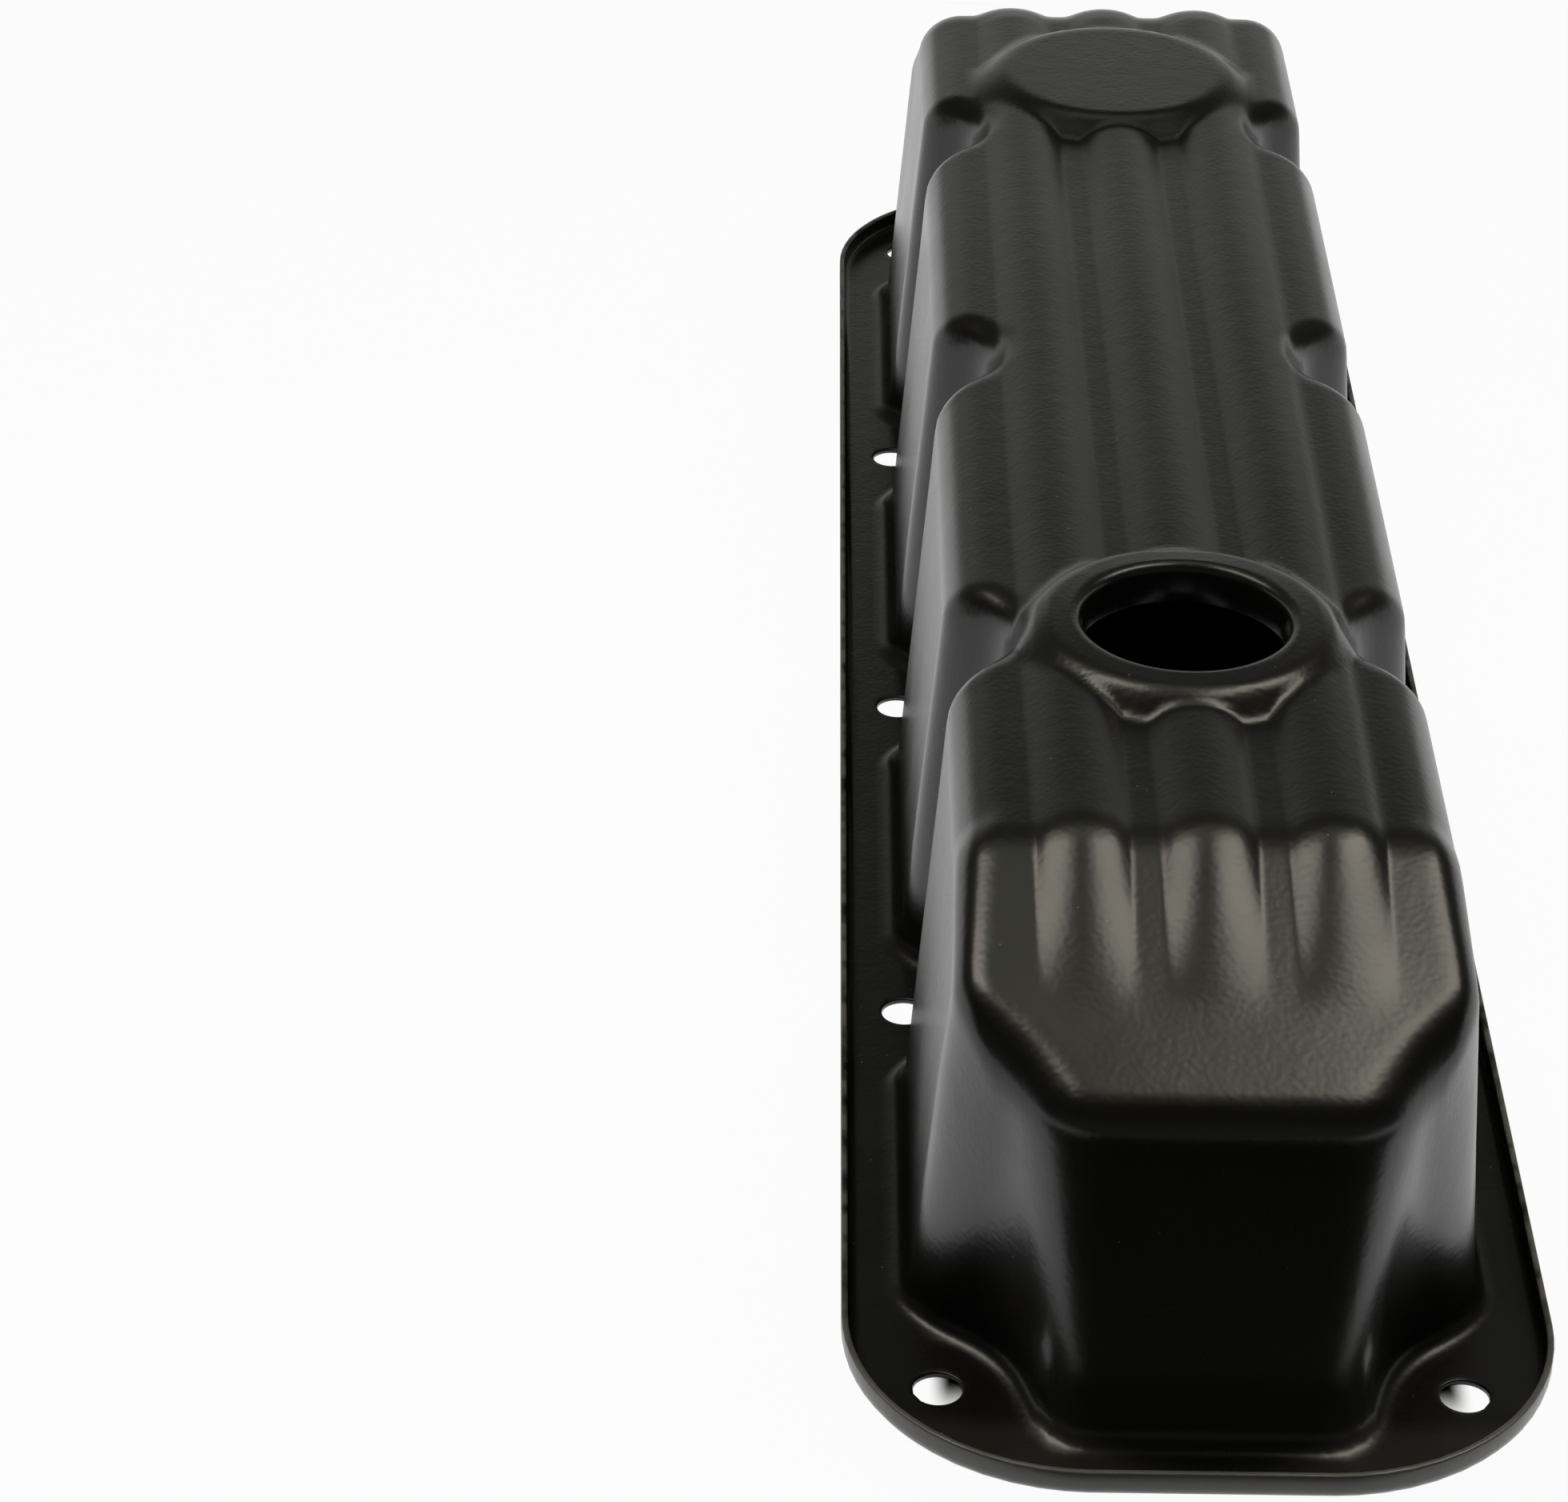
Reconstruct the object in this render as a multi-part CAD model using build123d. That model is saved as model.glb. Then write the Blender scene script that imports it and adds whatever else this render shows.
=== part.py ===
from build123d import *
import math
import os

# Engine valve cover: one sheet-steel stamping. A long ribbed box with drafted walls stands on a flat
# flange whose edge is bent up into a lip. Scallops in the walls make room for ten bolt heads.
# Units are millimetres. The gasket face is z = 0, the cover's middle is x = y = 0, +Y runs along its
# length towards the end with the blank pad, and +Z is up.

# Sheet and flange
sheet = 1.2
land_side = 11.4
land_end = 12.4
flange_corner_radius = 41.0
lip_height = 5.5
lip_bend_radius = 1.5

# Box: its flat walls are measured where they would meet the gasket face
body_width = 98.0
body_length = 478.8
body_height = 82.5
wall_draft = 4.9
base_bend_radius = 4.0
top_edge_radius = 7.5

# Slopes from the top down to the end walls
near_slope_start = 180.0
near_slope = 19.8
far_slope_start = 183.5
far_slope = 35.0
slope_bend_radius = 14.0

# Bolts: rows of two across the middle, and a narrower row in each end
bolt_hole_radius = 4.2
bolt_row_count = 3
bolt_row_pitch = 113.3
bolt_inset = 0.6
end_bolt_inset = 4.8
end_bolt_setback = 14.1

# Side scallops: round cuts that widen upwards, given at the gasket face and at the top
scallop_base_depth = 13.0
scallop_base_radius = 18.0
scallop_top_depth = 7.4
scallop_top_radius = 41.0
scallop_edge_radius = 8.0

# Corner scallops: where the round cut is centred beyond the box's corner, along X and Y
corner_base_beyond = (10.6, -1.8)
corner_base_radius = 33.5
corner_top_beyond = (38.6, 26.2)
corner_top_radius = 56.6

# Ribs along the top, which run out on the slopes
rib_count = 3
rib_pitch = 21.3
rib_height = 3.0
rib_radius = 12.7
rib_run_out = 36.0

# Filler boss with its turned-in neck, and the blank pad of the same shape
filler_y = -bolt_row_pitch
filler_height = 5.1
filler_bore_radius = 18.7
filler_edge_radius = 2.0
filler_neck_depth = 8.0
pad_y = 139.0
pad_height = 4.5
boss_top_radius = 26.0
boss_foot_radius = 29.5
boss_edge_radius = 3.0

# Cutting solids reach this far past what they cut, and raised forms start this far down in the box
over = 10.0
root_depth = 4.0

# Points within this distance of a surface lie on it
on_surface = 0.02

half_width = body_width / 2
half_length = body_length / 2
lowest = -over
highest = body_height + over
features_foot = body_height - root_depth


def tangent(degrees):
    return math.tan(math.radians(degrees))


def level(z):
    """Half width and half length of the unrounded box at a height."""
    return half_width - z * tangent(wall_draft), half_length - z * tangent(wall_draft)


def drafted_walls(depth):
    """Four drafted walls, each moved inwards by the depth."""
    inset = depth / math.cos(math.radians(wall_draft))
    x, y = level(lowest)
    foot = Pos(0, 0, lowest) * Rectangle(2 * (x - inset), 2 * (y - inset))
    return extrude(foot, highest - lowest, taper=wall_draft)


def side_profile(depth):
    """Solid under the top and the two end slopes, moved inwards by the depth."""
    top = body_height - depth
    near_y = near_slope_start - depth * tangent(near_slope / 2)
    far_y = far_slope_start - depth * tangent(far_slope / 2)
    end = half_length + over
    outline = Polyline(
        (-end, 2 * lowest),
        (-end, top - (end - near_y) * tangent(near_slope)),
        (-near_y, top),
        (far_y, top),
        (end, top - (end - far_y) * tangent(far_slope)),
        (end, 2 * lowest),
        close=True,
    )
    face = Plane.YZ * make_face(outline)
    bends = [v for v in face.vertices() if abs(v.Z - top) < on_surface]
    return extrude(fillet(bends, slope_bend_radius - depth), half_width + 2 * over, both=True)


def roof_rim(solid):
    """Edges all round the top and its slopes, where they meet the walls."""
    roof = [face for face in solid.faces() if face.normal_at().Z > 0.5]
    edges = [edge for face in roof for edge in face.edges()]
    return [edge for edge in edges if sum(edge.is_same(other) for other in edges) == 1]


def scallops():
    """Each round cut as its centre and radius at the gasket face and at the top of the box."""
    top_x, top_y = level(body_height)
    cuts = []
    for side in (-1, 1):
        base_x = half_width - scallop_base_depth + scallop_base_radius
        upper_x = top_x - scallop_top_depth + scallop_top_radius
        for y in bolt_rows():
            base = (side * base_x, y, scallop_base_radius)
            cuts.append((base, (side * upper_x, y, scallop_top_radius)))
        for end in (-1, 1):
            base = (
                side * (half_width + corner_base_beyond[0]),
                end * (half_length + corner_base_beyond[1]),
                corner_base_radius,
            )
            upper = (
                side * (top_x + corner_top_beyond[0]),
                end * (top_y + corner_top_beyond[1]),
                corner_top_radius,
            )
            cuts.append((base, upper))
    return cuts


def scallop_cone(cut):
    """Apex, axis and half angle of the leaning cone through a round cut's two circles."""
    base, upper = cut
    shift = Vector(upper[0] - base[0], upper[1] - base[1])
    growth = upper[2] - base[2]
    near_lean = math.atan2(shift.length - growth, body_height)
    far_lean = math.atan2(shift.length + growth, body_height)
    lean = (near_lean + far_lean) / 2
    axis = shift.normalized() * math.sin(lean) + Vector(0, 0, math.cos(lean))
    apex_share = base[2] / growth
    apex = Vector(base[0], base[1]) - (shift + Vector(0, 0, body_height)) * apex_share
    return apex, axis, (far_lean - near_lean) / 2


def scallop_cutter(cut, depth):
    """The cone of a round cut, widened by the depth. Its seam faces away from the box."""
    apex, axis, half_angle = scallop_cone(cut)
    widening = depth / math.cos(half_angle)
    start = -apex.Z - body_height / 2
    length = 2.5 * body_height
    side = Vector(0, 0, -1) + axis * axis.Z
    place = Plane(origin=apex + axis * start, x_dir=side, z_dir=axis)
    foot_radius = start * math.tan(half_angle) + widening
    top_radius = (start + length) * math.tan(half_angle) + widening
    alignment = (Align.CENTER, Align.CENTER, Align.MIN)
    return place * Cone(foot_radius, top_radius, length, align=alignment)


def lies_on(edge, cut, depth):
    """Whether an edge lies on a round cut's wall."""
    apex, axis, half_angle = scallop_cone(cut)
    for share in (0.1, 0.5, 0.9):
        arm = edge.position_at(share) - apex
        along = arm.dot(axis)
        off_axis = (arm - axis * along).length
        if abs(off_axis * math.cos(half_angle) - along * math.sin(half_angle) - depth) > on_surface:
            return False
    return True


def scalloped_box(depth):
    """The box with its scallops and with every edge rounded, inset by the depth."""
    solid = (drafted_walls(depth) & side_profile(depth)).solid()
    solid = solid.fillet(top_edge_radius - depth, roof_rim(solid))
    for cut in scallops():
        solid = solid - scallop_cutter(cut, depth)
    solid = solid.solid()
    raised = [edge for edge in solid.edges() if edge.center().Z > lowest + on_surface]
    rims = [edge for edge in raised if any(lies_on(edge, cut, depth) for cut in scallops())]
    return solid.fillet(scallop_edge_radius - depth, rims)


def rib(x, depth):
    """A round rib along the top that bends down at each slope and runs out into it."""
    axis_z = body_height + rib_height - rib_radius
    fall = math.degrees(math.atan2(rib_height, rib_run_out))
    reach = rib_run_out + over
    path = []
    for end, start, slope in ((-1, near_slope_start, near_slope), (1, far_slope_start, far_slope)):
        bend_y = start - rib_radius * tangent((slope + fall) / 2)
        down = math.radians(slope + fall)
        tip = (x, end * (bend_y + reach * math.cos(down)), axis_z - reach * math.sin(down))
        path.append((tip, (x, end * bend_y, axis_z)))
    line = Polyline(path[0][0], path[0][1], path[1][1], path[1][0])
    upper_part = Pos(0, features_foot - depth - axis_z) * Rectangle(
        2 * rib_radius, 2 * rib_radius, align=(Align.CENTER, Align.MIN)
    )
    section = Circle(rib_radius - depth) & upper_part
    across = Plane(origin=path[0][0], x_dir=(-1, 0, 0), z_dir=Vector(*path[0][1]) - Vector(*path[0][0]))
    return sweep(across * section, path=line, transition=Transition.RIGHT)


def boss(y, height, depth):
    """A round raised pad with a steep flank and a rounded edge."""
    top = body_height + height - depth
    lean = (boss_foot_radius - boss_top_radius) / height
    inset = depth * (math.hypot(1, lean) - lean)
    foot_x = boss_foot_radius + lean * (body_height - features_foot) - depth * math.hypot(1, lean)
    outline = Polyline(
        (0, features_foot), (foot_x, features_foot), (boss_top_radius - inset, top), (0, top), close=True
    )
    face = make_face(outline)
    edge = [v for v in face.vertices() if v.X > 1 and v.Y > body_height]
    face = fillet(edge, boss_edge_radius - depth)
    return Pos(0, y, 0) * revolve(Plane.XZ * face, Axis.Z)


def pressed_form(depth):
    """All that is pressed up out of the flange, inset by the depth."""
    raised = boss(filler_y, filler_height, depth) + boss(pad_y, pad_height, depth)
    for i in range(rib_count):
        raised = raised + rib((i - (rib_count - 1) / 2) * rib_pitch, depth)
    for cut in scallops():
        raised = raised - scallop_cutter(cut, depth)
    return (scalloped_box(depth) + raised).solid()


def bolt_rows():
    """Y of the rows across the middle."""
    return [(i - (bolt_row_count - 1) / 2) * bolt_row_pitch for i in range(bolt_row_count)]


def bolt_places():
    """X and Y of every bolt hole."""
    end_x = half_width - end_bolt_inset
    end_y = half_length - end_bolt_setback
    places = [(side * (half_width - bolt_inset), y) for side in (-1, 1) for y in bolt_rows()]
    return places + [(side * end_x, end * end_y) for side in (-1, 1) for end in (-1, 1)]


def flange_outline(inset):
    return RectangleRounded(
        2 * (half_width + land_side - inset),
        2 * (half_length + land_end - inset),
        flange_corner_radius - inset,
    )


def tray():
    """The flat flange, solid across the middle, with its edge bent up into the lip."""
    outside = extrude(flange_outline(0), lip_height)
    outside = fillet(outside.faces().sort_by(Axis.Z)[0].edges(), lip_bend_radius + sheet)
    inside = Pos(0, 0, sheet) * extrude(flange_outline(sheet), lip_height)
    inside = fillet(inside.faces().sort_by(Axis.Z)[0].edges(), lip_bend_radius)
    return outside - inside


def below_gasket_face():
    """A wide slab whose upper side is the gasket face."""
    upper_side = (Align.CENTER, Align.CENTER, Align.MAX)
    return Box(2 * body_width, 2 * body_length, -2 * lowest, align=upper_side)


def outer_side():
    """Everything under the painted upper face of the stamping, as one full solid."""
    solid = (tray() + (pressed_form(0) - below_gasket_face())).solid()
    return solid.fillet(base_bend_radius, foot_edges(solid, sheet))


def inner_side():
    """The space under the stamping: the hollow of the box, opening over the gasket face."""
    solid = (below_gasket_face() + pressed_form(sheet)).solid()
    return solid.fillet(base_bend_radius + sheet, foot_edges(solid, 0))


def foot_edges(solid, z):
    """Edges where the pressed form rises from a level face, inside the bolt land."""
    edges = []
    for edge in solid.edges():
        box = edge.bounding_box()
        flat = abs(box.min.Z - z) < on_surface and abs(box.max.Z - z) < on_surface
        inside_x = abs(edge.center().X) < half_width + on_surface
        if flat and inside_x and abs(edge.center().Y) < half_length + on_surface:
            edges.append(edge)
    return edges


def filler_neck():
    """The sheet round the filler hole, turned down into a short neck."""
    top = body_height + filler_height
    bend_x = filler_bore_radius + filler_edge_radius
    bend_z = top - filler_edge_radius
    foot_z = top - filler_neck_depth
    inner = filler_edge_radius - sheet
    lean = math.sqrt(0.5)
    outline = [
        ThreePointArc(
            (bend_x, top),
            (bend_x - filler_edge_radius * lean, bend_z + filler_edge_radius * lean),
            (filler_bore_radius, bend_z),
        ),
        Line((filler_bore_radius, bend_z), (filler_bore_radius, foot_z)),
        Line((filler_bore_radius, foot_z), (filler_bore_radius + sheet, foot_z)),
        Line((filler_bore_radius + sheet, foot_z), (filler_bore_radius + sheet, bend_z)),
        ThreePointArc(
            (filler_bore_radius + sheet, bend_z),
            (bend_x - inner * lean, bend_z + inner * lean),
            (bend_x, top - sheet),
        ),
        Line((bend_x, top - sheet), (bend_x, top)),
    ]
    section = Plane.XZ * make_face(outline)
    return Pos(0, filler_y, 0) * revolve(section, Axis.Z)


def valve_cover():
    shell = outer_side() - inner_side()
    cut_radius = filler_bore_radius + filler_edge_radius
    shell = shell - Pos(0, filler_y, body_height) * Cylinder(cut_radius, body_height)
    shell = shell + filler_neck()
    for x, y in bolt_places():
        shell = shell - Pos(x, y, 0) * Cylinder(bolt_hole_radius, over)
    return shell.solid()


os.makedirs("parts", exist_ok=True)
export_step(valve_cover(), "parts/cover_shell.step")
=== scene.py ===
import bmesh
import bpy
import math
import numpy as np
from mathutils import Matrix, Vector

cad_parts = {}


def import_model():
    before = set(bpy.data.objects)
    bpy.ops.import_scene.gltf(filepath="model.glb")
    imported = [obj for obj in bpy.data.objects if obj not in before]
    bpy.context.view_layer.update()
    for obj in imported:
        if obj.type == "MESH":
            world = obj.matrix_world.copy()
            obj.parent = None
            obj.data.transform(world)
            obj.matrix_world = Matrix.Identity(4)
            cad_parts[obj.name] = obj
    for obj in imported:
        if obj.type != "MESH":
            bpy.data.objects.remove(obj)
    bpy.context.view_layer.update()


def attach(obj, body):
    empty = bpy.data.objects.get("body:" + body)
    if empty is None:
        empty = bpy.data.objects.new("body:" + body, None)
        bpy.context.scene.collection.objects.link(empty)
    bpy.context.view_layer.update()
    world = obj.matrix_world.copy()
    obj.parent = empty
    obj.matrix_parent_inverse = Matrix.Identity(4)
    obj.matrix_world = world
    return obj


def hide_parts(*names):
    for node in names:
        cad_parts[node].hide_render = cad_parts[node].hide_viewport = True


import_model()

# Painted valve cover: +Y along its length, +Z up, gasket face at z = 0. The stamping is worked out in
# millimetres and made in metres.

# Sheet, drafted box, bend from wall to flange, and upturned lip
SHEET = 1.2
HALF_WIDTH, HALF_LENGTH, HEIGHT = 49.0, 239.4, 82.5
DRAFT = math.radians(4.9)
LIP_X, LIP_Y, LIP_CORNER, LIP_HEIGHT = 60.4, 251.8, 41.0, 5.5
LIP_BEND, BASE_BEND = 1.5, 4.0

# End slopes of the roof: where each starts, its pitch and the reach of its bend
NEAR_START, NEAR_SLOPE, NEAR_BEND = 180.0, math.tan(math.radians(19.8)), 4.0
FAR_START, FAR_SLOPE, FAR_BEND = 183.5, math.tan(math.radians(35.0)), 6.0

# Radius of the rim between roof and walls, at places along the cover
RIM_Y = (-232.0, -200.0, -181.0, -172.0, 190.0, 215.0)
RIM_RADIUS = (4.2, 5.2, 6.4, 8.8, 8.8, 7.0)

# Ribs: where they start to die away at each end and over what length, and how soft their feet are on
# the near slope and on the level roof
RIB_PITCH, RIB_HEIGHT, RIB_RADIUS = 21.3, 3.0, 12.7
RIB_FOOT = math.sqrt(RIB_RADIUS ** 2 - (RIB_RADIUS - RIB_HEIGHT) ** 2)
NEAR_FADE, FAR_FADE = (180.0, 36.0), (174.0, 34.0)
RIB_SOFT_Y, RIB_SOFT = (-190.0, -176.0), (0.22, 1.0)
WAVE = 0.07

# Filler boss and round pad: middle, rise, skirt from the level top's radius to the foot's, and blends
ROW_PITCH = 113.3
FILLER_Y, PAD_Y = -ROW_PITCH, 139.0
FILLER_RISE, PAD_RISE = 5.1, 4.5
FILLER_SKIRT, PAD_SKIRT = (26.0, 31.0), (25.6, 31.8)
BOSS_EDGE, BOSS_BLEND, RIB_BLEND = 1.6, 0.8, 0.25
BORE, BORE_BEND, NECK_DEPTH, CROWN = 18.7, 1.9, 8.0, 0.07

# Bolt scallops: each cone by its level circles (x, y, radius) at z = 0 and at HEIGHT, and the radius of
# its rounded edge, which gets smaller towards the top in the rows
ROW_CUT = ((54.0, 0.0, 18.0), (44.5, 4.5, 13.5))
CORNER_CUT = ((59.6, 237.6, 33.5), (80.5, 258.5, 56.6))
ROW_EDGE, ROW_EDGE_TOP, CORNER_EDGE = 8.2, 5.2, 8.2

# Bolt holes: three on each side and one in each corner of the flange
BOLT_HOLES = [(side * 48.4, row * ROW_PITCH) for side in (-1, 1) for row in (-1, 0, 1)]
BOLT_HOLES += [(side * 44.2, end * 225.3) for side in (-1, 1) for end in (-1, 1)]

# Trimmed edges: over the lip as inset and height, down a bolt hole as radius and height, and round the
# neck's lower edge as distance outside the bore and height above the neck's foot. The lip's cut edge
# wears down to EDGE_BAND below its top.
LIP_EDGE = [(1.2, 3.9), (1.2, 5.05), (1.14, 5.33), (0.97, 5.46), (0.6, LIP_HEIGHT),
            (0.23, 5.46), (0.06, 5.33), (0, 5.05), (0, 3.9)]
EDGE_BAND, EDGE_SLACK = 0.3, 0.02
HOLE_EDGE = [(4.55, 1.2), (4.33, 1.14), (4.2, 0.95), (4.2, 0.25), (4.33, 0.06), (4.55, 0)]
NECK_EDGE = [(0, 3), (0, 0.3), (0.1, 0.08), (0.35, 0), (0.85, 0), (1.1, 0.08), (SHEET, 0.3)]

# Core inside the box, where the rays start: half its sides, its height, its fall towards the ends, and
# the stretches along its sides and ends in which the rays turn towards a corner. Then how far rays
# reach, how often that is halved, and the least height of the rim above the core.
CORE_X, CORE_Y, CORE_Z = 30.3, 212.0, 68
CORE_START, CORE_BEND, CORE_NEAR, CORE_FAR = 175, 5, 0.5, 0.8
SIDE_TURN, END_TURN = 22, 14
ROOF_REACH, WALL_REACH, RIM_REACH, LIP_REACH = 40, 60, 70, 70
HALVINGS, LEAST_RIM = 26, 3
UP = np.array([0.0, 0.0, 1.0])

# Net: gaps between its lines, the stretches in which they are fine, shares of the way for its loops,
# and the windows that the filler and the bolt holes take
FINE_GAP, ROOF_GAP, WIDE_GAP, FOOT_GAP = 1.3, 1.5, 2.4, 0.35
AXIS_SAMPLES = 6001
ROW_FINE, PAD_FINE, FILLER_FINE, END_FINE = 24, 36, 38, 172
ABOVE_RIM = (0.85, 0.7, 0.56, 0.43, 0.32, 0.22, 0.14, 0.07, 0.0)
BELOW_RIM = (0.93, 0.85, 0.75, 0.62, 0.45, 0.25, 0.0)
OUTER_WALL, INNER_WALL = (0.8, 0.6, 0.42, 0.26, 0.12, 0.0), (0.7, 0.4, 0.0)
FLANGE = (0.1, 0.19, 0.28, 0.37, 0.46, 0.55, 0.64, 0.72, 0.8, 0.9)
BASE_TURN = np.radians([18, 36, 54, 72, 90])
QUARTER_TURN = np.radians([22.5, 45, 67.5, 90])
FILLER_WINDOW, FILLER_STEPS = 25.2, np.linspace(0.09, 1, 11)
HOLE_WINDOW, HOLE_ROWS, HOLE_STEPS = 5.6, 9, (0.4, 0.75)


def ramp(t, reach):
    """0 below -reach and t above reach, joined by a parabola."""
    return np.where(t < reach, np.maximum(t + reach, 0) ** 2 / (4 * reach), t)


def higher(a, b, reach):
    """The larger of two heights, with the crease between them rounded within the reach."""
    return b + ramp(a - b, reach)


def round_edge(a, b, radius):
    """Distance field of two fields' overlap, its convex edge rounded by the radius."""
    corner = np.hypot(np.maximum(a + radius, 0), np.maximum(b + radius, 0))
    return np.minimum(np.maximum(a, b), -radius) + corner


def from_nearest(t, pitch):
    """Distance from the nearest of three places, at -pitch, 0 and pitch."""
    return t - pitch * np.clip(np.round(t / pitch), -1, 1)


def plain_roof(y):
    """Roof height without ribs: level, with a straight slope to each end and a parabola at each bend."""
    near = ramp(-y - NEAR_START, NEAR_BEND) * NEAR_SLOPE
    far = ramp(y - FAR_START, FAR_BEND) * FAR_SLOPE
    return HEIGHT - near - far


def boss_share(x, y, centre, skirt):
    """1 on the level top of a boss, then a cone down to 0 at its foot, rounded at the top."""
    radius = np.hypot(x, y - centre)
    return np.maximum(1 - ramp(radius - skirt[0], BOSS_EDGE) / (skirt[1] - skirt[0]), 0)


def roof(x, y):
    """Roof height: the plain roof plus the higher of the ribs (three circle segments that keep their
    width and die away on the slopes, with the faint waviness of two crossing sine waves) and of the
    two bosses. The filler's ring falls away slightly from its hole."""
    across = from_nearest(x, RIB_PITCH)
    bow = np.sqrt(np.maximum(RIB_RADIUS ** 2 - across ** 2, 0)) - (RIB_RADIUS - RIB_HEIGHT)
    near = np.clip(1 - (-y - NEAR_FADE[0]) / NEAR_FADE[1], 0, 1)
    far = np.clip(1 - (y - FAR_FADE[0]) / FAR_FADE[1], 0, 1)
    ribs = ramp(bow * near * far, np.interp(y, RIB_SOFT_Y, RIB_SOFT))
    ribs = ribs + WAVE * np.sin(0.045 * y + 0.11 * x + 1.3) * np.sin(0.021 * y - 0.16 * x)
    filler, pad = boss_share(x, y, FILLER_Y, FILLER_SKIRT), boss_share(x, y, PAD_Y, PAD_SKIRT)
    crown = CROWN * np.maximum(np.hypot(x, y - FILLER_Y) - BORE - BORE_BEND, 0)
    bosses = (FILLER_RISE - crown) * filler + PAD_RISE * pad
    return plain_roof(y) + higher(bosses, ribs, RIB_BLEND + BOSS_BLEND * np.maximum(filler, pad))


def beyond_cone(x, y, z, cut):
    """Distance outside the leaning cone through two level circles, (x, y, radius) at z = 0 and at HEIGHT."""
    base, top = cut
    shift = np.array([top[0] - base[0], top[1] - base[1]])
    run = np.hypot(*shift)
    growth = top[2] - base[2]
    steep = math.atan2(run - growth, HEIGHT)
    shallow = math.atan2(run + growth, HEIGHT)
    lean, half = (steep + shallow) / 2, (shallow - steep) / 2
    share = base[2] / growth
    apex = (base[0] - shift[0] * share, base[1] - shift[1] * share, -HEIGHT * share)
    axis = (shift[0] / run * math.sin(lean), shift[1] / run * math.sin(lean), math.cos(lean))
    px, py, pz = x - apex[0], y - apex[1], z - apex[2]
    along = px * axis[0] + py * axis[1] + pz * axis[2]
    off = np.sqrt(np.maximum(px * px + py * py + pz * pz - along * along, 0))
    return off * math.cos(half) - along * math.sin(half)


def pressed(x, y, z):
    """Distance field of the pressed box, negative inside the paint: roof and drafted walls with a
    rounded rim, cut by the ten scallop cones with rounded edges."""
    x, folded = np.abs(x), np.abs(y)
    lean = z * math.tan(DRAFT)
    walls = np.maximum(x - HALF_WIDTH + lean, folded - HALF_LENGTH + lean) * math.cos(DRAFT)
    grade = np.where(y < -NEAR_START, NEAR_SLOPE, np.where(y > FAR_START, FAR_SLOPE, 0))
    top = (z - roof(x, y)) / np.sqrt(1 + grade ** 2)
    box = round_edge(top, walls, np.interp(y, RIM_Y, RIM_RADIUS))
    edge = ROW_EDGE + (ROW_EDGE_TOP - ROW_EDGE) * np.clip(z / HEIGHT, 0, 1)
    box = round_edge(box, -beyond_cone(x, from_nearest(y, ROW_PITCH), z, ROW_CUT), edge)
    return round_edge(box, -beyond_cone(x, folded, z, CORNER_CUT), CORNER_EDGE)


def at_depth(depth, offset=0.0):
    """Field of the pressed box's face at a depth inside the paint, moved outwards by an offset."""
    return lambda x, y, z: pressed(x, y, z) + depth - offset


def beyond_lip(x, y):
    """Distance outside the lip's outline, a rectangle with round corners."""
    x, y = np.abs(x) - LIP_X + LIP_CORNER, np.abs(y) - LIP_Y + LIP_CORNER
    return np.minimum(np.maximum(x, y), 0) + np.hypot(np.maximum(x, 0), np.maximum(y, 0)) - LIP_CORNER


def cast(field, start, way, reach):
    """Where rays from inside a field first reach 0, by halving the reach again and again."""
    low = np.zeros(np.broadcast_shapes(start.shape, way.shape)[:-1])
    high = np.full(low.shape, float(reach))
    for _ in range(HALVINGS):
        middle = (low + high) / 2
        outside = field(*np.moveaxis(start + way * middle[..., None], -1, 0)) > 0
        high = np.where(outside, middle, high)
        low = np.where(outside, low, middle)
    return start + way * ((low + high) / 2)[..., None]


class Net:
    """Points and four-sided faces, gathered block by block."""

    def __init__(self):
        self.points, self.faces, self.count = [], [], 0

    def add(self, points):
        """Keep a block of points and return their numbers in the same layout."""
        flat = points.reshape(-1, 3)
        numbers = np.arange(self.count, self.count + len(flat)).reshape(points.shape[:-1])
        self.points.append(flat)
        self.count += len(flat)
        return numbers

    def cover(self, numbers, keep=None):
        """Faces between the neighbours of a block of point numbers, all of them or those to keep."""
        faces = np.stack([numbers[:-1, :-1], numbers[1:, :-1], numbers[1:, 1:], numbers[:-1, 1:]], -1)
        chosen = faces if keep is None else faces[keep]
        self.faces.append(chosen.reshape(-1, 4))

    def join(self, loops, keep=None):
        """Faces between closed loops of point numbers, each loop to the next."""
        self.cover(np.hstack([loops, loops[:, :1]]), keep)


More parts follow.
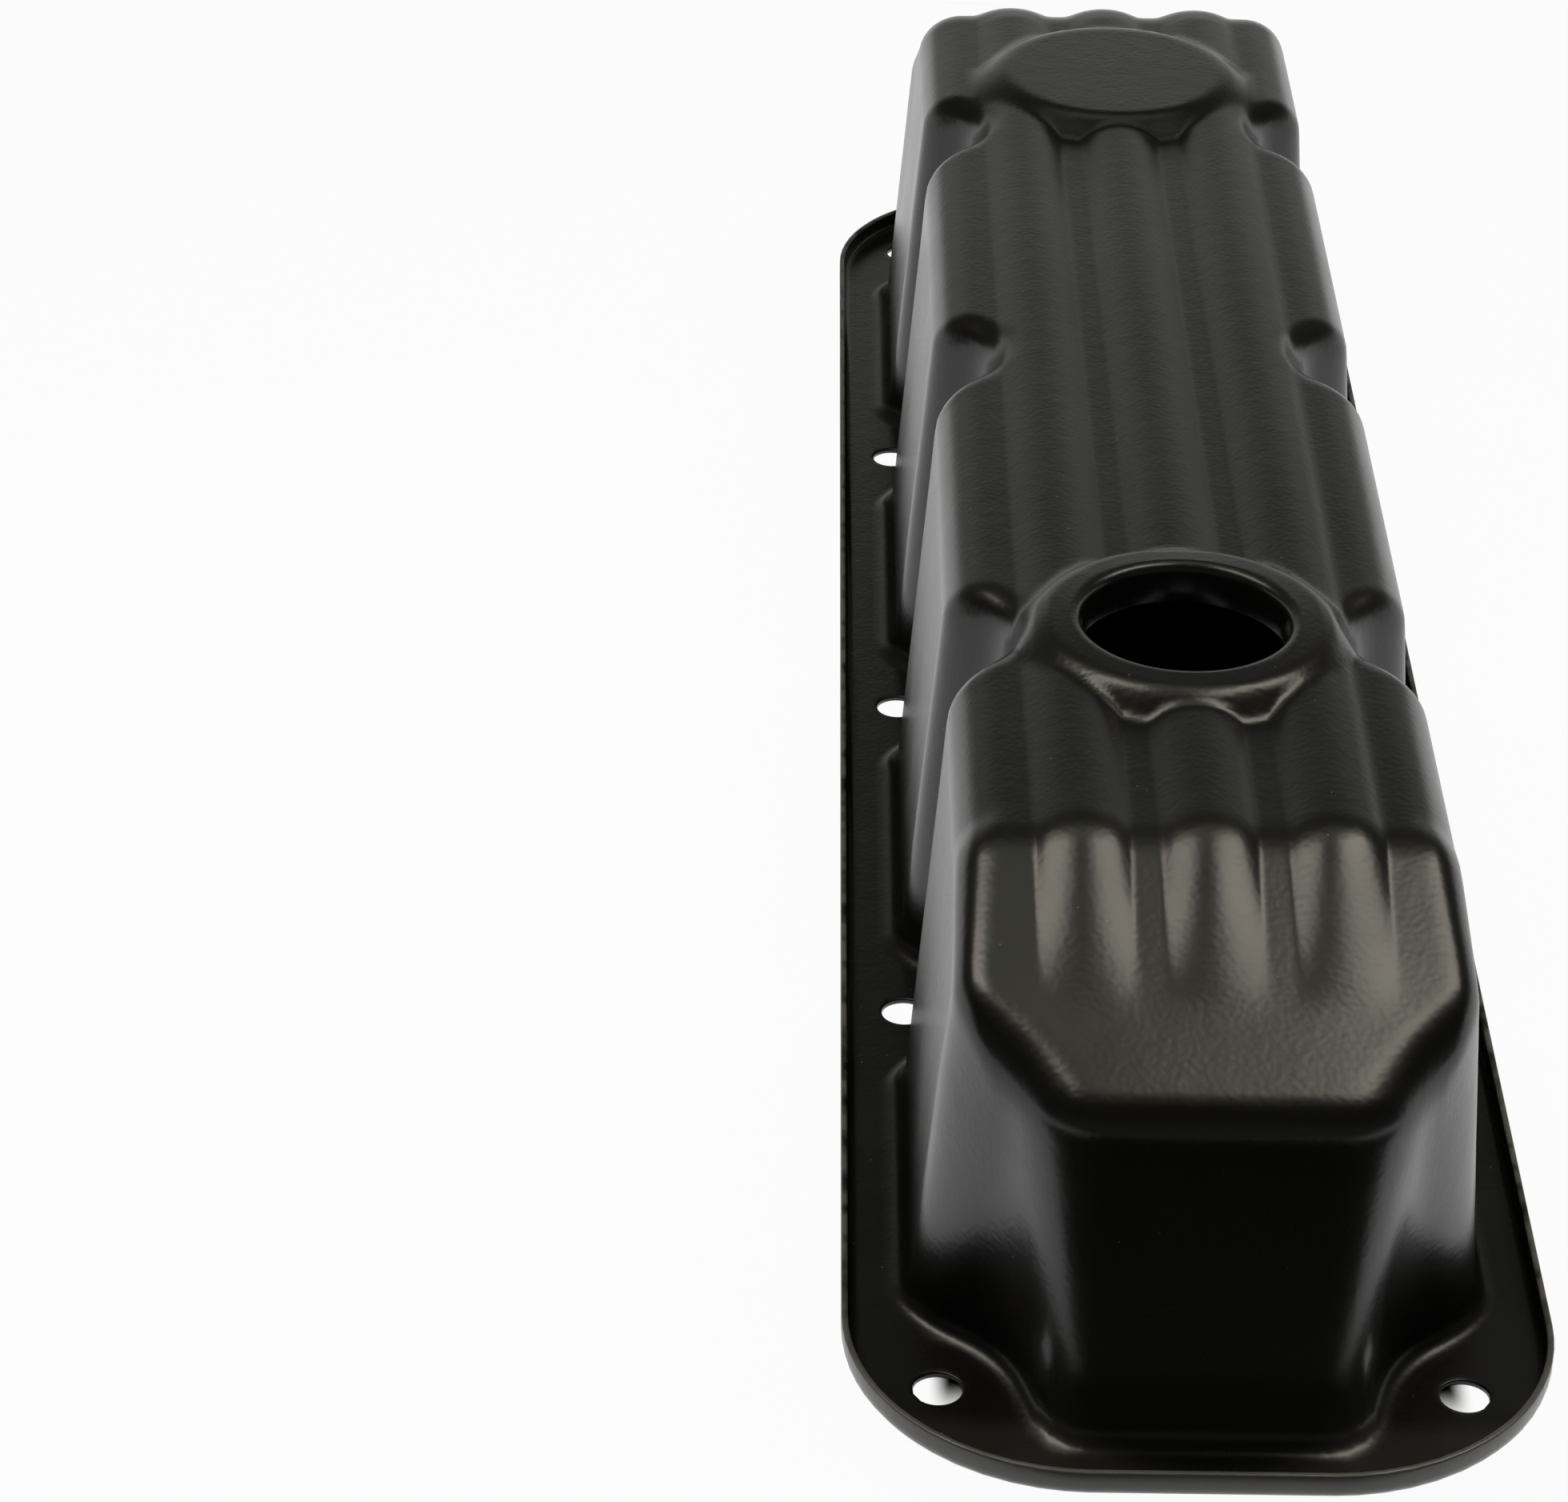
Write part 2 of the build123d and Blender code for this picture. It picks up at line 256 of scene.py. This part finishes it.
class Rays:
    """Rays outwards from the core's border. Each method gives loops of points in the border's order."""

    def __init__(self, start):
        self.start = start
        self.way = outward(start[:, 0], start[:, 1])
        self.level = np.column_stack([self.way, np.zeros(len(start))])

    def lifted(self, z):
        """The border at another height."""
        return np.column_stack([self.start[:, :2], np.broadcast_to(z, len(self.start))])

    def angles(self):
        """Angles of a fan above level, from upright to level and closest near the rim."""
        wall = cast(at_depth(0), self.start, self.level, WALL_REACH)
        reach = np.hypot(*(wall - self.start)[:, :2].T)
        rim = np.arctan2(np.maximum(plain_roof(wall[:, 1]) - self.start[:, 2], LEAST_RIM), reach)
        return [rim + (math.pi / 2 - rim) * part for part in ABOVE_RIM] + [rim * part for part in BELOW_RIM]

    def rim(self, depth, angles):
        """From the roof over the rim to the wall, by a fan of rays at each point."""
        ways = [np.column_stack([self.way * np.cos(angle)[:, None], np.sin(angle)]) for angle in angles]
        return [cast(at_depth(depth), self.start, way, RIM_REACH) for way in ways]

    def wall(self, depth, shares):
        """Down the wall by level rays, at shares of the height between the base bend and the core."""
        foot = BASE_BEND + SHEET
        heights = [foot + (self.start[:, 2] - foot) * share for share in shares]
        return [cast(at_depth(depth), self.lifted(z), self.level, WALL_REACH) for z in heights]

    def base_bend(self, depth):
        """Round the bend from wall to flange. At an angle a it stands BASE_BEND - r cos a outside the
        wall, at the height BASE_BEND + SHEET - r sin a, with r one sheet larger underneath."""
        radius = BASE_BEND + depth
        steps = [(BASE_BEND - radius * math.cos(a), BASE_BEND + SHEET - radius * math.sin(a))
                 for a in BASE_TURN]
        return [cast(at_depth(0, offset), self.lifted(z), self.level, WALL_REACH) for offset, z in steps]

    def lip(self, inset, height):
        """The lip's outline moved in by an inset, at a height."""
        def outline(x, y, z):
            return beyond_lip(x, y) + inset
        return cast(outline, self.lifted(height), self.level, LIP_REACH)


def border(grid):
    """Closed loop round a block, from the middle of its first row."""
    loop = np.concatenate([grid[0, :-1], grid[:-1, -1], grid[-1, :0:-1], grid[:0:-1, 0]])
    return np.roll(loop, -(grid.shape[1] // 2), axis=0)


def stations(spacing, start, end):
    """Positions from start to end whose gaps follow a spacing function: steps of its inverse are
    summed along a fine axis, and whole steps are read back."""
    axis = np.linspace(start, end, AXIS_SAMPLES)
    steps = np.concatenate([[0], np.cumsum(np.diff(axis) / spacing((axis[1:] + axis[:-1]) / 2))])
    return np.interp(np.linspace(0, steps[-1], int(steps[-1]) + 1), steps, axis)


def spacing_along(y):
    """Gap between grid lines along the cover: small at the scallops, the bosses and the ends."""
    gap = np.where(np.abs(from_nearest(y, ROW_PITCH)) < ROW_FINE, FINE_GAP, WIDE_GAP)
    gap = np.where(np.abs(y - PAD_Y) < PAD_FINE, np.minimum(gap, ROOF_GAP), gap)
    gap = np.where(np.abs(y - FILLER_Y) < FILLER_FINE, FINE_GAP, gap)
    return np.where(np.abs(y) > END_FINE, FINE_GAP, gap)


def spacing_across(x):
    """Gap between grid lines across the cover: smallest at each rib's foot."""
    feet = (RIB_FOOT, RIB_PITCH - RIB_FOOT, RIB_PITCH + RIB_FOOT)
    beside = np.min([np.abs(np.abs(x) - foot) for foot in feet], axis=0)
    return np.clip(FOOT_GAP + FOOT_GAP * beside, FOOT_GAP, ROOF_GAP)


def core_height(y):
    """Height of the core: level, then falling more gently than the roof towards each end."""
    return CORE_Z - ramp(np.abs(y) - CORE_START, CORE_BEND) * np.where(y < 0, CORE_NEAR, CORE_FAR)


def outward(x, y):
    """Level direction of the ray from each point of the core's border: square to it, and turning
    steadily to 45 degrees before each corner."""
    side = np.radians(45) * np.clip((np.abs(y) - CORE_Y + SIDE_TURN) / SIDE_TURN, 0, 1) ** 2
    end = np.radians(45) * np.clip((np.abs(x) - CORE_X + END_TURN) / END_TURN, 0, 1) ** 1.5
    on_side = np.abs(x) > CORE_X - 1e-6
    across = np.where(on_side, np.cos(side), np.sin(end)) * np.sign(x)
    return np.stack([across, np.where(on_side, np.sin(side), np.cos(end)) * np.sign(y)], -1)


def bearings(points, centre):
    """Level unit direction from a centre to each point."""
    angle = np.arctan2(points[:, 1] - centre[1], points[:, 0] - centre[0])
    return np.column_stack([np.cos(angle), np.sin(angle), np.zeros(len(angle))])


def neck_profile():
    """Radius and height over the filler's rounded mouth, down the bore, round the neck's lower edge and
    back up its outside to the roof's underside."""
    top = HEIGHT + FILLER_RISE
    inner = BORE_BEND - SHEET
    mouth = [(BORE + BORE_BEND * (1 - math.sin(a)), top - BORE_BEND * (1 - math.cos(a)))
             for a in QUARTER_TURN]
    edge = [(BORE + out, top - NECK_DEPTH + up) for out, up in NECK_EDGE]
    back = [(BORE + BORE_BEND - inner * math.cos(a), top - BORE_BEND + inner * math.sin(a))
            for a in QUARTER_TURN[:3]]
    return mouth + edge + [(BORE + SHEET, top - BORE_BEND)] + back


def roof_faces(net, xs, ys, core):
    """Both faces of the roof, where upright rays from the core meet them. A window in both is joined by
    rings to the filler's neck. Returns the two blocks of point numbers."""
    across = np.flatnonzero(np.abs(xs) < FILLER_WINDOW)
    down = np.flatnonzero(np.abs(ys - FILLER_Y) < FILLER_WINDOW)
    window = (slice(down[0], down[-1] + 1), slice(across[0], across[-1] + 1))
    square = border(core[window])
    hub = np.array([0, FILLER_Y, 0])
    ring = bearings(square, hub)
    to_mouth = hub + ring * (BORE + BORE_BEND) - square
    starts = [square + to_mouth * [part, part, 0] for part in FILLER_STEPS]
    roofs, rings = [], []
    for depth in (0, SHEET):
        roofs.append(net.add(cast(at_depth(depth), core, UP, ROOF_REACH)))
        rings.append([cast(at_depth(depth), start, UP, ROOF_REACH) for start in starts])
    kept = np.ones((len(ys) - 1, len(xs) - 1), bool)
    kept[down[0]:down[-1], across[0]:across[-1]] = False
    for numbers in roofs:
        net.cover(numbers, kept)
    neck = [hub + ring * radius + [0, 0, z] for radius, z in neck_profile()]
    bore = net.add(np.array(rings[0] + neck + rings[1][::-1]))
    net.join(np.vstack([border(roofs[0][window]), bore, border(roofs[1][window])]))
    return roofs


def flange(foot, edge):
    """Loops across the level flange, from the foot of the base bend to the lip's bend."""
    return [foot + (edge - foot) * part for part in FLANGE] + [edge]


def sheet_loops(rays):
    """Loops over the rim, down the wall, across the flange and over the lip, then back underneath and up
    inside. Returns them with the row of the first loop on the flange, above and underneath."""
    angles = rays.angles()
    bend = LIP_BEND + SHEET
    outside = rays.rim(0, angles) + rays.wall(0, OUTER_WALL) + rays.base_bend(0)
    upper = len(outside)
    outside += flange(outside[-1], rays.lip(bend, SHEET))
    outside += [rays.lip(bend - LIP_BEND * math.sin(a), bend - LIP_BEND * math.cos(a)) for a in QUARTER_TURN]
    outside += [rays.lip(inset, z) for inset, z in LIP_EDGE]
    outside += [rays.lip(bend * (1 - math.cos(a)), bend * (1 - math.sin(a))) for a in (0, *QUARTER_TURN[:3])]
    inside = rays.rim(SHEET, angles[1::2]) + rays.wall(SHEET, INNER_WALL) + rays.base_bend(SHEET)
    inside += flange(inside[-1], rays.lip(bend, 0))
    lower = len(outside) + len(FLANGE)
    return np.array(outside + inside[::-1]), upper, lower


def match_start(first, second):
    """Turn or reverse the second loop so that its points stand under the first loop's."""
    numbers, places = second
    options = []
    for step in (1, -1):
        for shift in range(len(numbers)):
            turned = np.roll(places[::step], shift, axis=0)
            options.append((np.abs(turned[:, :2] - first[1][:, :2]).sum(), step, shift))
    _, step, shift = min(options)
    return np.roll(numbers[::step], shift), np.roll(places[::step], shift, axis=0)


def bolt_hole(net, rays, loops, numbers, rows, kept, hole):
    """Take a window round a bolt hole out of the flange's loops, above and underneath, and join the two
    by rings that go from the window's outline to the round wall of the hole."""
    gap = np.array(hole) - rays.start[:, :2]
    beside = gap[:, 0] * rays.way[:, 1] - gap[:, 1] * rays.way[:, 0]
    ahead = (gap * rays.way).sum(1)
    near = np.flatnonzero((np.abs(beside) < HOLE_WINDOW) & (ahead > 0) & (ahead < WALL_REACH))
    columns = slice(near[0] - 1, near[-1] + 2)
    outlines = []
    for span in rows:
        kept[span.start + 1:span.stop, columns.start:columns.stop - 1] = False
        outlines.append((border(numbers[span, columns]), border(loops[span, columns])))
    upper, lower = outlines[0], match_start(*outlines)
    ring = bearings(upper[1], hole)
    wall = [np.array([*hole, 0]) + ring * radius + [0, 0, z] for radius, z in HOLE_EDGE]
    above = [upper[1] + (wall[0] - upper[1]) * part for part in HOLE_STEPS]
    below = [lower[1] + (wall[-1] - lower[1]) * part for part in HOLE_STEPS[::-1]]
    net.join(np.vstack([upper[0], net.add(np.array(above + wall + below)), lower[0]]))


def shell_points():
    """The whole stamping as one closed net. A grid of upright rays finds the roof. From the grid's
    border, fans of rays find the rim, level rays the walls, and loops at fixed distances make the
    base bend, the flange and the lip. The underside is the same field one sheet deeper."""
    net = Net()
    xs = stations(spacing_across, 0, CORE_X)
    xs = np.concatenate([-xs[:0:-1], xs])
    ys = stations(spacing_along, -CORE_Y, CORE_Y)
    grid_x, grid_y = np.meshgrid(xs, ys)
    core = np.stack([grid_x, grid_y, core_height(grid_y)], -1)
    roofs = roof_faces(net, xs, ys, core)
    rays = Rays(border(core))
    loops, upper, lower = sheet_loops(rays)
    numbers = net.add(loops)
    kept = np.ones((len(loops) + 1, len(rays.start)), bool)
    rows = (slice(upper, upper + HOLE_ROWS), slice(lower + 2 - HOLE_ROWS, lower + 2))
    for hole in BOLT_HOLES:
        bolt_hole(net, rays, loops, numbers, rows, kept, hole)
    net.join(np.vstack([border(roofs[0]), numbers, border(roofs[1])]), kept)
    points, faces = np.vstack(net.points), np.vstack(net.faces)
    used = np.unique(faces)
    order = np.zeros(len(points), int)
    order[used] = np.arange(len(used))
    return points[used], order[faces]


def lip_wear_and_reflection(points):
    """1 on the cut edge along the top of the lip, which wears, 0.5 on the lip's outer face, which gets a
    painted reflection of the floor, 0 elsewhere.
    """
    outline, z = beyond_lip(points[:, 0], points[:, 1]), points[:, 2]
    cut = (outline > -SHEET - EDGE_SLACK) & (z > LIP_HEIGHT - EDGE_BAND)
    outside = (outline > -EDGE_BAND) & (z > EDGE_BAND) & ~cut
    return cut + 0.5 * outside


def stamping():
    """The stamping as one mesh in metres, on the body of the CAD shell, in its place."""
    points, faces = shell_points()
    mesh = bpy.data.meshes.new("pressed_steel_cover")
    mesh.from_pydata(points / 1000, [], faces.tolist())
    # Lip mask: its cut edge for real wear, and its outer face for a painted reflection of the white floor.
    mesh.attributes.new("lip_wear_and_reflection", "FLOAT", "POINT").data.foreach_set("value", lip_wear_and_reflection(points))
    net = bmesh.new()
    net.from_mesh(mesh)
    bmesh.ops.recalc_face_normals(net, faces=net.faces)
    net.to_mesh(mesh)
    net.free()
    mesh.shade_smooth()
    made = bpy.data.objects.new("pressed_steel_cover", mesh)
    bpy.context.scene.collection.objects.link(made)
    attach(made, "root")
    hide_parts("cover_shell")
    return made


def material(name):
    """A new node material, its node tree and its Principled shader."""
    made = bpy.data.materials.new(name)
    made.use_nodes = True
    tree = made.node_tree
    return made, tree, tree.nodes["Principled BSDF"]


def feed(tree, slot, value):
    """Link a node's output to an input, or write a plain value into it."""
    if isinstance(value, bpy.types.NodeSocket):
        tree.links.new(value, slot)
    else:
        slot.default_value = value


def sums(tree, operation, *values):
    """A Math node on outputs and numbers."""
    node = tree.nodes.new("ShaderNodeMath")
    node.operation = operation
    for slot, value in zip(node.inputs, values):
        feed(tree, slot, value)
    return node.outputs[0]


def times(tree, first, second):
    """Two masks or numbers multiplied."""
    return sums(tree, "MULTIPLY", first, second)


def rise(tree, value, start, end):
    """0 below start, 1 above end, smooth between; falls instead where start is above end."""
    node = tree.nodes.new("ShaderNodeMapRange")
    node.interpolation_type = "SMOOTHSTEP"
    tree.links.new(value, node.inputs["Value"])
    node.inputs["From Min"].default_value = start
    node.inputs["From Max"].default_value = end
    return node.outputs["Result"]


def position(tree, output):
    """Coordinates as a whole, then X, Y and Z apart. Object coordinates are metres on the piece."""
    node = tree.nodes.new("ShaderNodeTexCoord")
    split = tree.nodes.new("ShaderNodeSeparateXYZ")
    tree.links.new(node.outputs[output], split.inputs[0])
    return node.outputs[output], *split.outputs


def noise(tree, where, scale, detail=2.0):
    """Cloudy mask from a noise texture."""
    node = tree.nodes.new("ShaderNodeTexNoise")
    tree.links.new(where, node.inputs["Vector"])
    node.inputs["Scale"].default_value = scale
    node.inputs["Detail"].default_value = detail
    return node.outputs["Fac"]


def blended(tree, share, first, second):
    """The second colour over the first by a mask."""
    node = tree.nodes.new("ShaderNodeMix")
    node.data_type = "RGBA"
    tree.links.new(share, node.inputs[0])
    for slot, colour in ((node.inputs[6], first), (node.inputs[7], second)):
        feed(tree, slot, (*colour, 1) if isinstance(colour, tuple) else colour)
    return node.outputs[2]


def specks(tree, where, scale, size, rarity):
    """Small round spots, one in a few of the cells of a Voronoi pattern."""
    node = tree.nodes.new("ShaderNodeTexVoronoi")
    tree.links.new(where, node.inputs["Vector"])
    node.inputs["Scale"].default_value = scale
    split = tree.nodes.new("ShaderNodeSeparateColor")
    tree.links.new(node.outputs["Color"], split.inputs[0])
    spot = rise(tree, node.outputs["Distance"], size, size * 0.5)
    chosen = rise(tree, split.outputs[0], rarity, rarity + 0.004)
    return times(tree, spot, chosen)


# Paint: its colours, the scales of its patterns, the size and rarity of the dust specks, roughness,
# orange peel, and where the painted light on the near end and the painted lip reflection begin and are full
PAINT_DEEP, PAINT_CLOUD = (0.0064, 0.0064, 0.0061), (0.0086, 0.0085, 0.0077)
# Painted light: the near end is painted lighter to stand in for light on it. Painted reflection: the lip's
# outer face is painted grey, as it mirrors the white floor.
FRONT_PAINTED_LIGHT, LIP_PAINTED_REFLECTION = (0.034, 0.0335, 0.0305), (0.20, 0.20, 0.20)
DUST_SPECK, WORN_EDGE = (0.2, 0.18, 0.135), (0.17, 0.165, 0.155)
CLOUD_SCALE, WEAR_SCALE, DUST_SCALE, PEEL_SCALE, GRAIN_SCALE = 48, 170, 620, 210, 900
SATIN, SATIN_CLOUD, MATT = 0.225, 0.10, 0.45
DUST_SIZE, DUST_RARITY = 0.12, 0.965
PEEL_SHARE, PEEL_DEPTH = 1.1, 0.000024
# Along Y, where the painted light on the near end and the painted reflection on the lip fade in
FRONT_LIGHT_Y, LIP_REFLECTION_Y = (-0.231, -0.237), (-0.19, -0.235)

# Floor paper: its colours, the share of white that the camera sees on it, and the fading edges of its
# dark part under the cover and of the dark card in front. Then the levels of the studio's light.
PAPER_WHITE, PAPER_DARK, PAPER_SEEN = (0.8, 0.8, 0.8), (0.03, 0.03, 0.03), 0.96
UNDER_X, UNDER_Y = (0.046, 0.042), (0.232, 0.222)
CARD_X, CARD_Y = (0.30, 0.16), (-0.254, -0.262)
CEILING, HORIZON, BACK, FRONT, NIGHT = 0.62, 0.60, 0.03, 0.08, 0.02


def black_paint():
    """Satin black paint with faint clouds, orange peel and dust specks. The near end of the wall, flange and
    lip is painted lighter as painted light, the lip's outer face is painted grey towards the front as a
    painted reflection of the white floor, and the lip's cut edge is worn lighter in patches."""
    made, tree, shader = material("satin_black_paint")
    where, _, y, _ = position(tree, "Object")
    cloud = noise(tree, where, CLOUD_SCALE)
    dust = specks(tree, where, DUST_SCALE, DUST_SIZE, DUST_RARITY)
    lip = tree.nodes.new("ShaderNodeAttribute")
    lip.attribute_name = "lip_wear_and_reflection"
    patchy = rise(tree, noise(tree, where, WEAR_SCALE, 1.0), 0.30, 0.62)
    worn = times(tree, rise(tree, lip.outputs["Fac"], 0.55, 1.0), patchy)
    # Painted reflection: the lip's outer face, fading in towards the front, is painted grey as if it
    # mirrored the white floor.
    lip_reflection = times(tree, rise(tree, lip.outputs["Fac"], 0.1, 0.4), rise(tree, y, *LIP_REFLECTION_Y))
    colour = blended(tree, cloud, PAINT_DEEP, PAINT_CLOUD)
    # Over the paint: painted light on the near end, the painted reflection on the lip, then real dust specks
    # and the worn edge.
    for mask, lighter in ((rise(tree, y, *FRONT_LIGHT_Y), FRONT_PAINTED_LIGHT), (lip_reflection, LIP_PAINTED_REFLECTION),
                          (dust, DUST_SPECK), (worn, WORN_EDGE)):
        colour = blended(tree, mask, colour, lighter)
    tree.links.new(colour, shader.inputs["Base Color"])
    satin = sums(tree, "MULTIPLY_ADD", cloud, SATIN_CLOUD, SATIN)
    matt = times(tree, sums(tree, "MAXIMUM", dust, worn), MATT)
    tree.links.new(sums(tree, "MAXIMUM", satin, matt), shader.inputs["Roughness"])
    grain = noise(tree, where, GRAIN_SCALE, 0.0)
    peel = sums(tree, "MULTIPLY_ADD", noise(tree, where, PEEL_SCALE, 0.0), PEEL_SHARE, grain)
    bump = tree.nodes.new("ShaderNodeBump")
    bump.inputs["Strength"].default_value = 1.0
    bump.inputs["Distance"].default_value = PEEL_DEPTH
    tree.links.new(peel, bump.inputs["Height"])
    tree.links.new(bump.outputs["Normal"], shader.inputs["Normal"])
    return made


def floor_paper():
    """White paper that shows as white to the camera and keeps a faint shadow. It is dark under the
    cover, where no light comes, and a dark card in front shows in the paint but not to the camera."""
    made, tree, shader = material("floor_paper")
    _, x, y, _ = position(tree, "Object")
    wide, long = sums(tree, "ABSOLUTE", x), sums(tree, "ABSOLUTE", y)
    under = times(tree, rise(tree, wide, *UNDER_X), rise(tree, long, *UNDER_Y))
    card = times(tree, rise(tree, y, *CARD_Y), rise(tree, wide, *CARD_X))
    dark = sums(tree, "MAXIMUM", under, card)
    tree.links.new(blended(tree, dark, PAPER_WHITE, PAPER_DARK), shader.inputs["Base Color"])
    shader.inputs["Roughness"].default_value = 0.9
    shader.inputs["Specular IOR Level"].default_value = 0.1
    glow = tree.nodes.new("ShaderNodeEmission")
    glow.inputs["Strength"].default_value = 1.0
    path = tree.nodes.new("ShaderNodeLightPath")
    to_camera = times(tree, path.outputs["Is Camera Ray"], PAPER_SEEN)
    seen = times(tree, sums(tree, "SUBTRACT", 1.0, under), to_camera)
    mirrored = times(tree, sums(tree, "SUBTRACT", 1.0, dark), path.outputs["Is Glossy Ray"])
    mix = tree.nodes.new("ShaderNodeMixShader")
    tree.links.new(sums(tree, "MAXIMUM", seen, mirrored), mix.inputs["Fac"])
    tree.links.new(shader.outputs[0], mix.inputs[1])
    tree.links.new(glow.outputs[0], mix.inputs[2])
    tree.links.new(mix.outputs[0], tree.nodes["Material Output"].inputs["Surface"])
    return made


def floor():
    """White floor, a hair under the gasket face."""
    bpy.ops.mesh.primitive_plane_add(size=20, location=(0, 0, -0.0002))
    made = bpy.context.object
    made.name = "floor"
    made.data.materials.append(floor_paper())


def softbox(name, side):
    """One of the two warm lamps above the near half, aimed at the near slope."""
    lamp = bpy.data.lights.new(name, "AREA")
    lamp.shape = "RECTANGLE"
    lamp.size, lamp.size_y = 0.15, 0.32
    lamp.energy = 0.85
    lamp.color = (1, 0.93, 0.80)
    made = bpy.data.objects.new(name, lamp)
    bpy.context.scene.collection.objects.link(made)
    made.location = (side, -0.06, 0.55)
    made.rotation_euler = (Vector((0, -0.2, 0.06)) - made.location).to_track_quat("-Z", "Y").to_euler()


def camera():
    """Long lens from the near end, a little to the left and from above."""
    data = bpy.data.cameras.new("camera")
    data.sensor_width = 36
    data.lens = 5750 / 1960 * 36
    data.clip_start = 0.01
    made = bpy.data.objects.new("camera", data)
    bpy.context.scene.collection.objects.link(made)
    made.location = (-0.0688, -0.8312, 0.4900)
    made.rotation_euler = (math.radians(58.964), math.radians(-0.568), math.radians(0.564))
    bpy.context.scene.camera = made


def world():
    """Studio round the cover: at the back a light horizon, lighter sides low down and a warm ceiling,
    and nearly dark on the camera's side, a little less so low down."""
    made = bpy.data.worlds.new("studio")
    made.use_nodes = True
    tree = made.node_tree
    _, x, y, z = position(tree, "Generated")
    wide = sums(tree, "ABSOLUTE", x)
    ceiling = times(tree, rise(tree, z, 0.80, 0.95), times(tree, rise(tree, y, 0.08, 0.24), CEILING))
    horizon = times(tree, rise(tree, z, 0.55, 0.25), times(tree, rise(tree, wide, 0.75, 0.05), HORIZON))
    sides = times(tree, rise(tree, wide, 0.40, 0.62), rise(tree, z, 0.28, 0.04))
    room = sums(tree, "ADD", sums(tree, "ADD", ceiling, sides), sums(tree, "ADD", horizon, BACK))
    front = times(tree, rise(tree, y, -0.15, -0.50), rise(tree, z, 0.62, 0.42))
    dim = sums(tree, "MULTIPLY_ADD", front, FRONT, NIGHT)
    level = sums(tree, "MULTIPLY_ADD", room, rise(tree, y, -0.12, 0.10), dim)
    warmth = blended(tree, rise(tree, z, 0.6, 0.9), (1, 1, 0.97), (0.97, 1, 0.80))
    tree.links.new(warmth, tree.nodes["Background"].inputs["Color"])
    tree.links.new(level, tree.nodes["Background"].inputs["Strength"])
    bpy.context.scene.world = made
    bpy.context.scene.view_settings.view_transform = "Standard"


cover = stamping()
cover.data.materials.append(black_paint())
floor()
camera()
world()
softbox("left_softbox", -0.25)
softbox("right_softbox", 0.22)
